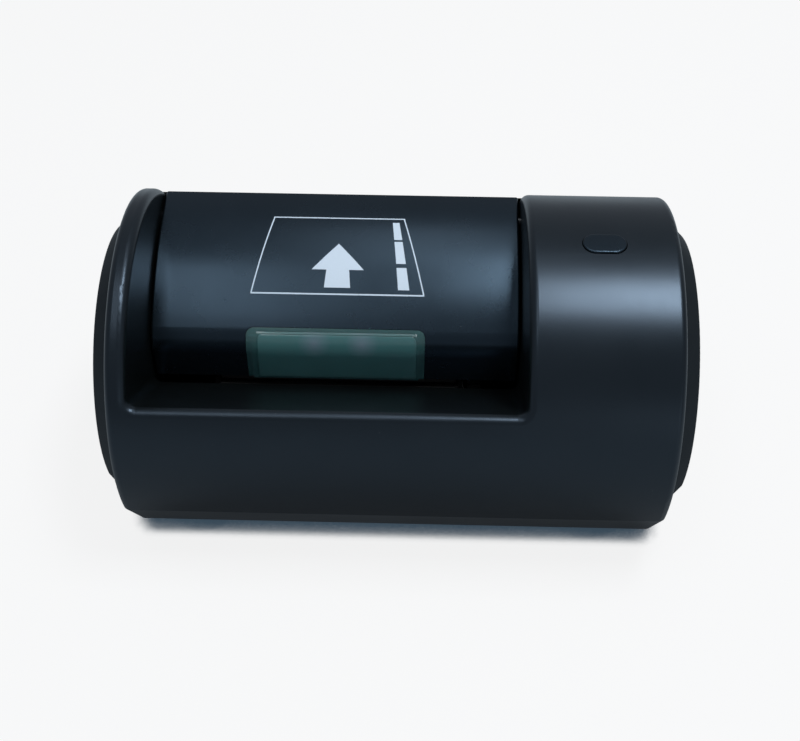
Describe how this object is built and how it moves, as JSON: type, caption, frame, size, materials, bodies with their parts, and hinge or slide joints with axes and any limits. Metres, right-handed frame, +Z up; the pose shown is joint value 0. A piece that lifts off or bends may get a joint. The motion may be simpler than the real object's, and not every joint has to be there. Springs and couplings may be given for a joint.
{
  "type": "cheque scanner",
  "caption": "Desktop cheque scanner: drum-shaped black housing with a ramp, a sunk hinged cover with a green window, a status key, and a gear-driven roller path inside",
  "frame": {"origin": "middle of the footprint, on the surface the feet stand on", "axes": "+X along the drum to the right as seen from the front, +Y to the back, +Z up"},
  "size_m": [0.218, 0.132, 0.1167],
  "materials": {
    "housing_black": "satin black moulded ABS",
    "cover_black": "glossier black moulded ABS",
    "gear_black": "black acetal",
    "chassis_black": "black coated sheet steel",
    "cap_grey": "dark grey satin moulded ABS",
    "window_green": "translucent dark green acrylic",
    "guide_black": "matt black moulded plastic",
    "foot_rubber": "soft black rubber",
    "roller_rubber": "ground rubber",
    "roller_white": "white low-friction plastic",
    "gear_white": "natural acetal",
    "shaft_steel": "ground steel",
    "screw_steel": "zinc-plated steel",
    "plate_steel": "galvanised sheet steel",
    "sensor_black": "black filled plastic",
    "sensor_glass": "clear glass strip",
    "head_metal": "polished metal can",
    "magnet_grey": "sintered magnet",
    "pad_felt": "grey felt",
    "board_green": "green solder mask",
    "part_black": "black moulded components",
    "lamp_green": "green lamp body",
    "ribbon_white": "flat ribbon cable",
    "lead_black": "sleeved lead"
  },
  "bodies": {
    "housing": {"upper_housing": "housing_black", "base_pan": "housing_black", "feet": "foot_rubber", "housing_screws": "screw_steel", "pan_screws": "screw_steel", "left_end_cap": "cap_grey", "right_end_cap": "cap_grey", "hinge_pin": "shaft_steel", "lower_guide": "guide_black", "rear_guide": "guide_black", "exit_pinch_shaft": "shaft_steel", "left_chassis_plate": "chassis_black", "right_chassis_plate": "chassis_black", "tie_bars": "shaft_steel", "shaft_bushes": "gear_white", "idler_stud": "shaft_steel", "drive_motor": "plate_steel", "motor_screws": "screw_steel", "image_sensor": "sensor_black", "sensor_glass": "sensor_glass", "sensor_brackets": "plate_steel", "read_head": "head_metal", "head_bracket": "plate_steel", "head_magnet": "magnet_grey", "path_sensors": "sensor_black", "main_board": "board_green", "board_parts": "part_black", "power_jack": "part_black", "data_socket": "part_black", "key_board": "board_green", "key_board_screws": "screw_steel", "key_switch": "sensor_black", "status_lamp": "lamp_green", "scan_cable": "ribbon_white", "key_cable": "ribbon_white", "motor_lead": "lead_black"},
    "cover": {"cover": "cover_black", "cover_window": "window_green", "upper_guide": "guide_black", "guide_screws": "screw_steel", "feed_pinch_shaft": "shaft_steel", "platen_shaft": "shaft_steel", "pressure_pad": "pad_felt", "pad_spring": "shaft_steel"},
    "feed_roller": {"feed_shaft": "shaft_steel", "feed_rollers": "roller_rubber", "feed_gear": "gear_black", "feed_clips": "shaft_steel"},
    "idler": {"idler_gear": "gear_white"},
    "exit_roller": {"exit_shaft": "shaft_steel", "exit_rollers": "roller_rubber", "exit_gear": "gear_white", "exit_clips": "shaft_steel"},
    "motor_rotor": {"motor_shaft": "shaft_steel", "motor_pinion": "gear_white"},
    "feed_pinch": {"feed_pinch_rollers": "roller_rubber"},
    "platen": {"platen_roller": "roller_white"},
    "exit_pinch": {"exit_pinch_rollers": "roller_white"},
    "key": {"status_key": "cover_black", "switch_plunger": "part_black"}
  },
  "joints": [
    {"name": "cover_hinge", "type": "hinge", "parent": "housing", "child": "cover", "pos_m": [0, 0.04102, 0.08798], "axis": [-1, 0, 0], "range_deg": [0, 75]},
    {"name": "feed_roller_spin", "type": "hinge", "parent": "housing", "child": "feed_roller", "pos_m": [0, -0.0033, 0.03455], "axis": [1, 0, 0], "continuous": true},
    {"name": "idler_spin", "type": "hinge", "parent": "housing", "child": "idler", "pos_m": [0, 0.02668, 0.03347], "axis": [1, 0, 0], "continuous": true},
    {"name": "exit_roller_spin", "type": "hinge", "parent": "housing", "child": "exit_roller", "pos_m": [0, 0.05066, 0.0326], "axis": [1, 0, 0], "continuous": true},
    {"name": "motor_spin", "type": "hinge", "parent": "housing", "child": "motor_rotor", "pos_m": [0, -0.01801, 0.01984], "axis": [1, 0, 0], "continuous": true},
    {"name": "feed_pinch_spin", "type": "hinge", "parent": "cover", "child": "feed_pinch", "pos_m": [0, 0.00168, 0.04688], "axis": [1, 0, 0], "continuous": true},
    {"name": "platen_spin", "type": "hinge", "parent": "cover", "child": "platen", "pos_m": [0, 0.03296, 0.0429], "axis": [1, 0, 0], "continuous": true},
    {"name": "exit_pinch_spin", "type": "hinge", "parent": "housing", "child": "exit_pinch", "pos_m": [0, 0.05066, 0.0429], "axis": [1, 0, 0], "continuous": true},
    {"name": "key_press", "type": "slide", "parent": "housing", "child": "key", "axis": [0, 0, -1], "range_m": [0, 0.0008], "stiffness_N_per_m": 900, "springref_m": -0.0006}
  ],
  "couplings": [
    {"joint": "idler_spin", "follows": "feed_roller_spin", "ratio": -1.1429},
    {"joint": "exit_roller_spin", "follows": "feed_roller_spin", "ratio": 1.6},
    {"joint": "motor_spin", "follows": "feed_roller_spin", "ratio": -3.3333},
    {"joint": "feed_pinch_spin", "follows": "feed_roller_spin", "ratio": -1.6},
    {"joint": "platen_spin", "follows": "feed_roller_spin", "ratio": -1.6},
    {"joint": "exit_pinch_spin", "follows": "feed_roller_spin", "ratio": -1.6}
  ]
}
